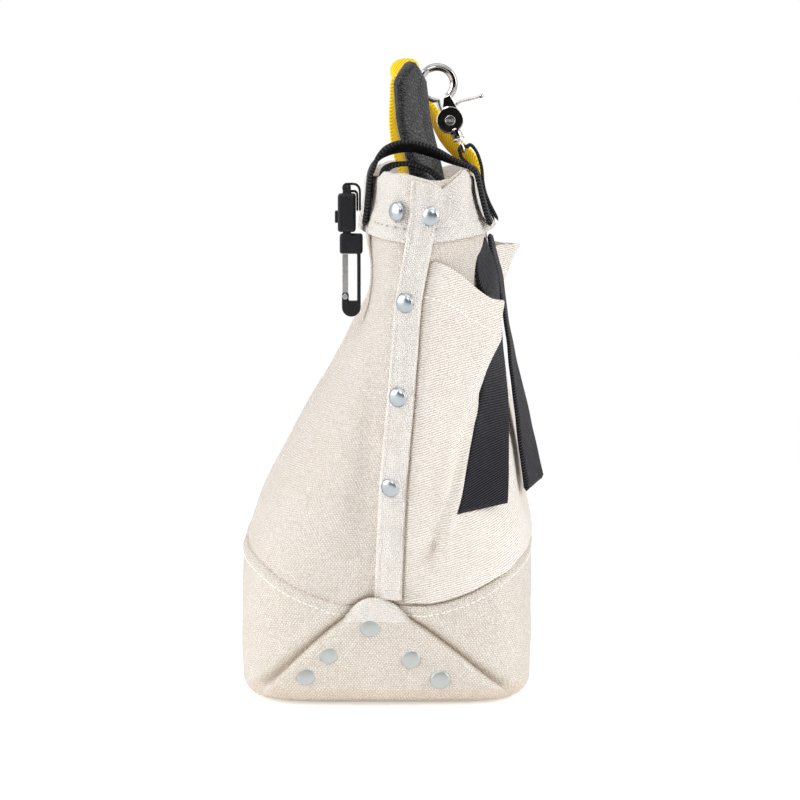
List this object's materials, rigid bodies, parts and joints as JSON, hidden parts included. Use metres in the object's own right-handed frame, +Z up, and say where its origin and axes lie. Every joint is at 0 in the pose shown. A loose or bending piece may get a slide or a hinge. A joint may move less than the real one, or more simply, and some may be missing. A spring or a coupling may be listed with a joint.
{
  "type": "utility pouch",
  "caption": "Open-top canvas bolt bag with riveted side seams and base, a back pocket, black hanging straps, a leather strap, a yellow tether, a swivel snap and a quick-release clip.",
  "frame": {"origin": "middle of the underside, on the surface it stands on", "axes": "+Z up; X along the bag's width, its straps and clip nearer +X; -Y the front, +Y the back with the pocket"},
  "size_m": [0.2918, 0.1603, 0.3337],
  "materials": {
    "cream_canvas": "heavy natural duck canvas, matt",
    "pale_canvas": "folded and stitched canvas, paler, matt",
    "black_webbing": "black ribbed webbing",
    "yellow_webbing": "yellow woven webbing",
    "dark_leather": "dark grey pebbled leather",
    "rivet_steel": "zinc-plated steel caps",
    "bright_chrome": "bright nickel or chrome plate",
    "black_plastic": "matt black moulded plastic",
    "bright_steel": "plain bright steel"
  },
  "bodies": {
    "bag": {"bag_body": "cream_canvas", "bottom_wrap": "cream_canvas", "rim_cuff": "pale_canvas", "back_pocket": "cream_canvas", "right_seam_strip": "pale_canvas", "right_end_flap": "cream_canvas", "right_seam_rivet_1": "rivet_steel", "right_seam_rivet_2": "rivet_steel", "right_seam_rivet_3": "rivet_steel", "right_seam_rivet_4": "rivet_steel", "right_seam_rivet_5": "rivet_steel", "right_flap_rivet_1": "rivet_steel", "right_flap_rivet_2": "rivet_steel", "right_flap_rivet_3": "rivet_steel", "right_flap_rivet_4": "rivet_steel", "right_flap_rivet_5": "rivet_steel", "left_seam_strip": "pale_canvas", "left_end_flap": "cream_canvas", "left_seam_rivet_1": "rivet_steel", "left_seam_rivet_2": "rivet_steel", "left_seam_rivet_3": "rivet_steel", "left_seam_rivet_4": "rivet_steel", "left_seam_rivet_5": "rivet_steel", "left_flap_rivet_1": "rivet_steel", "left_flap_rivet_2": "rivet_steel", "left_flap_rivet_3": "rivet_steel", "left_flap_rivet_4": "rivet_steel", "left_flap_rivet_5": "rivet_steel", "closure_strap": "black_webbing", "inner_strap": "black_webbing", "leash_strap": "black_webbing", "clip_webbing": "black_webbing", "leather_strap": "dark_leather", "yellow_webbing": "yellow_webbing", "swivel_eye": "bright_chrome", "buckle_socket": "black_plastic"},
    "hanging_strap_1": {"hanging_strap_1": "black_webbing"},
    "hanging_strap_2": {"hanging_strap_2": "black_webbing"},
    "snap": {"snap_body": "bright_chrome", "snap_rivet": "bright_steel"},
    "snap_gate": {"snap_gate": "bright_chrome"},
    "release_button": {"release_button": "black_plastic"},
    "clip": {"clip_body": "black_plastic", "clip_gate_pin": "bright_steel"},
    "clip_gate": {"clip_gate": "bright_steel"}
  },
  "joints": [
    {"name": "strap_1_swing", "type": "hinge", "parent": "bag", "child": "hanging_strap_1", "pos_m": [0.08696, 0.04953, 0.23601], "axis": [0.9665, -0.1171, -0.2283], "range_deg": [0, 75]},
    {"name": "strap_2_swing", "type": "hinge", "parent": "bag", "child": "hanging_strap_2", "pos_m": [0.04625, 0.05339, 0.2391], "axis": [0.9975, -0.0573, 0.0408], "range_deg": [0, 75]},
    {"name": "snap_swivel", "type": "hinge", "parent": "bag", "child": "snap", "pos_m": [0.046, 0.03295, 0.29789], "axis": [0, -0.4147, 0.91], "continuous": true},
    {"name": "gate_open", "type": "hinge", "parent": "snap", "child": "snap_gate", "pos_m": [0.046, 0.03295, 0.29789], "axis": [-1, 0, 0], "range_deg": [0, 16], "stiffness_Nm_per_rad": 0.02, "springref_deg": -11.46},
    {"name": "button_press", "type": "slide", "parent": "bag", "child": "release_button", "axis": [0, 1, 0], "range_m": [0, 0.0008], "stiffness_N_per_m": 400, "springref_m": -0.0005},
    {"name": "clip_release", "type": "slide", "parent": "bag", "child": "clip", "axis": [0, 0, -1], "range_m": [0, 0.007]},
    {"name": "clip_gate_open", "type": "hinge", "parent": "clip", "child": "clip_gate", "pos_m": [0.09996, -0.02062, 0.2104], "axis": [-1, 0, 0], "range_deg": [0, 9], "stiffness_Nm_per_rad": 0.01, "springref_deg": -11.46}
  ]
}
